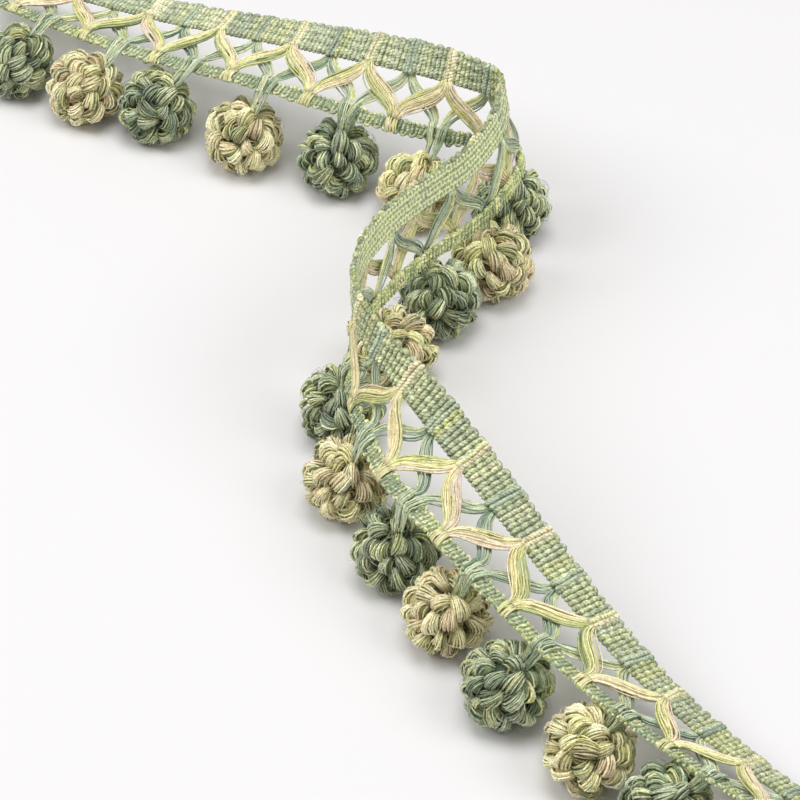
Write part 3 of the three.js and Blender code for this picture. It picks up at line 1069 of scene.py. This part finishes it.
# Loose fibres. Each rises from inside the lobes in a low arc: foot + rise * (1 - t^2), for t from -1 to 1.
def looseFibres(random, palette, middle):
    count = bobble["fibres"]
    out, way = squarePairs(random, count)
    t = np.linspace(-1, 1, 4)[:, None]
    rise = random.uniform(*bobble["fibreRise"], (count, 1, 1))
    half = random.uniform(*bobble["fibreHalf"], (count, 1, 1))
    height = bobble["radius"] - bobble["fibreFoot"] + rise * (1 - t**2)
    paths = middle + out * height + way * t * half
    colour = pickColours(random, palette, count, 0.1)[:, None, None]
    return tubes(paths, bobble["fibreRadius"], out, colour, 3, shade=0.0)


# The core, a sphere: sin(turn) * cos(side), sin(turn) * sin(side) and -cos(turn). Its dark colour is painted
# shade.
def coreBall(kind, middle):
    turn = np.linspace(0.05, pi - 0.05, 9)
    side = 2 * pi * np.arange(12) / 12
    ball = np.stack([
        np.sin(turn)[:, None] * np.cos(side),
        np.sin(turn)[:, None] * np.sin(side),
        np.broadcast_to(-np.cos(turn)[:, None], (9, 12)),
    ], -1)
    rings = (middle + bobble["coreRadius"] * ball)[None]
    return skin(rings, bobble["coreRadius"] * turn[None], linear(kind["coreShadeColour"]), turns=12)


# A ball of yarn loops: odd numbers are cream, and even ones teal.
def bobbleShape(number, middle, pole):
    random = np.random.default_rng(bobble["seed"] + number)
    palette = "cream" if number % 2 else "teal"
    kind = bobble[palette]
    lobes = spreadLobes(random, kind["lobes"], pole)
    strands, strandColour = lobeStrands(random, palette, middle, lobes)
    filling = lobeFilling(kind, middle, lobes, strandColour)
    windings = coreWindings(random, palette, middle)
    fibres = looseFibres(random, palette, middle)
    shape = joined([strands, filling, windings, fibres, coreBall(kind, middle)])
    shape["points"] = pressed(shape["points"])
    return shape


hanger = {
    "strands": 9,  # in each of the two bundles
    "radius": 0.25,
    "steps": 15,
    "spread": 1.1,  # half width of a bundle at the braid
    # its way down the braid: height, distance of a bundle from the station, and depth in front
    "route": [(5.4, 2.0, 0.6), (4.0, 1.8, 1.45), (1.9, 1.55, 1.8), (-0.2, 1.3, 1.5)],
    "apart": 1.2,  # from their middle to each bundle at the bobble, in half widths of a bundle
    "gathered": 1.1,  # and how much narrower than 1 mm a side each is there
    "meets": 0.92,  # where the strands go into the bobble, as a share of its radius
    "into": 0.42,  # where they end, as a share of that distance from its middle
    "endWidth": 0.5,  # and how wide the bundles are there, as a share of their width outside
    "stray": 0.2,  # how far strands are from their even places, in half widths of a bundle
    "crossing": 0.5,  # how much they change places on the way down
    "rough": 0.12,  # how unevenly they lie in depth
    "seed": 211,
}


# A smooth curve through control points, shape (strands, controls, 3): a uniform Catmull-Rom curve.
def through(controls, steps):
    first, last = 2 * controls[:, :1] - controls[:, 1:2], 2 * controls[:, -1:] - controls[:, -2:-1]
    padded = np.concatenate([first, controls, last], axis=1)
    spans = controls.shape[1] - 1
    t = np.linspace(0, spans, steps)
    i = np.minimum(t.astype(int), spans - 1)
    t = (t - i)[None, :, None]
    a, b, c, d = (padded[:, i + k] for k in range(4))
    return 0.5 * (2 * b + (c - a) * t + (2 * a - 5 * b + 4 * c - d) * t**2 + (3 * b - a - 3 * c + d) * t**3)


# Two bundles cross the front of the braid and draw together into the bobble.
def hangerShape(number, middle):
    random = np.random.default_rng(hanger["seed"] + number)
    lane = np.tile(np.linspace(-1, 1, hanger["strands"]), 2)
    side = np.repeat([-1.0, 1.0], hanger["strands"])
    lane = lane + hanger["stray"] * random.standard_normal(len(lane))
    crossed = (1 - hanger["crossing"]) * lane + hanger["crossing"] * random.permutation(lane)
    rows = []
    for height, off, depth in hanger["route"]:
        station = number + (side * off + lane * hanger["spread"]) / trim["pitch"]
        rows.append(place(station, height, depth + hanger["rough"] * random.standard_normal(len(lane))))
    edge = rows[-1].mean(axis=0)
    way = normalised(middle - edge)
    _, along, _, face = directions(float(number))
    skinPoint = middle - way * bobble["radius"] * hanger["meets"]
    sideways = normalised(along - way * (along @ way))
    for share, width in ((1.0, 1.0), (hanger["into"], hanger["endWidth"])):
        spot = middle + (skinPoint - middle) * share
        offset = (side * hanger["apart"] + crossed) * width / hanger["gathered"]
        rows.append(spot + sideways * offset[:, None] + face * 0.25 * lane[:, None])
    paths = through(np.stack(rows, axis=1), hanger["steps"])
    colour = pickColours(random, "hanger", len(paths), 0.1)[:, None, None]
    radius = hanger["radius"] * roundEnds(hanger["steps"])
    return tubes(paths, radius, face, colour, 3, phase=random.random(len(paths)), shade=1.0)


for number in range(1, 20):
    label = f"{number:02d}"
    middle = bobbleMiddle(label)
    edge = place(float(number), 0.0, 0.0)
    ball = bobbleShape(number, middle, normalised(edge - middle))
    finish = finishes["strands"] if number % 2 else finishes["marled"]
    addPiece("yarnBobble" + label, ball, finish, ["bobble_" + label])
    strands = hangerShape(number, middle)
    addPiece("bobbleHanger" + label, strands, finishes["floats"], ["hanger_" + label])
print("bobbles and hangers made")

studio = {
    "floorSize": 6,  # metres
    "floorColour": (0.77, 0.76, 0.765, 1),
    "worldColour": (1, 0.99, 1, 1),
    "worldStrength": 0.35,
    "boxSize": 1.3,  # width of each soft box, metres
    "boxes": {  # power in watts, and place in metres
        "above": (23, (0, 0, 2.2)),
        "left": (19, (-1.5, 0, 1.6)),
        "right": (14, (1.4, -0.5, 1.6)),
    },
    "cameraDistance": 0.873,
    "cameraElevation": 44.4,
    "cameraAim": (0.01792, -0.00335, 0),
    "lens": 132.9,
}


def addStudio():
    scene = bpy.context.scene
    mesh = bpy.data.meshes.new("floor")
    half = studio["floorSize"] / 2
    corners = [(-half, -half, 0), (half, -half, 0), (half, half, 0), (-half, half, 0)]
    mesh.from_pydata(corners, [], [(0, 1, 2, 3)])
    pale = Shader("paleFloor").finish(
        Base_Color=studio["floorColour"], Roughness=0.9, Specular_IOR_Level=0.1,
    )
    mesh.materials.append(pale)
    floor = addObject("floor", mesh)

    world = bpy.data.worlds.new("softWhite")
    world.use_nodes = True
    background = world.node_tree.nodes["Background"]
    background.inputs["Color"].default_value = studio["worldColour"]
    background.inputs["Strength"].default_value = studio["worldStrength"]
    scene.world = world

    for name, (power, spot) in studio["boxes"].items():
        light = bpy.data.lights.new(name, "AREA")
        light.shape = "DISK"
        light.size = studio["boxSize"]
        light.energy = power
        box = addObject(name, light)
        box.location = spot
        box.rotation_euler = (-Vector(spot)).to_track_quat("-Z", "Y").to_euler()

    lens = bpy.data.cameras.new("camera")
    lens.lens = studio["lens"]
    lens.clip_start = 0.05
    lens.clip_end = 20
    camera = addObject("camera", lens)
    rise = radians(studio["cameraElevation"])
    back = Vector((0, -cos(rise), sin(rise)))
    camera.location = Vector(studio["cameraAim"]) + back * studio["cameraDistance"]
    camera.rotation_euler = (-back).to_track_quat("-Z", "Y").to_euler()
    scene.camera = camera
    scene.view_settings.view_transform = "Standard"


addStudio()
print("studio made")
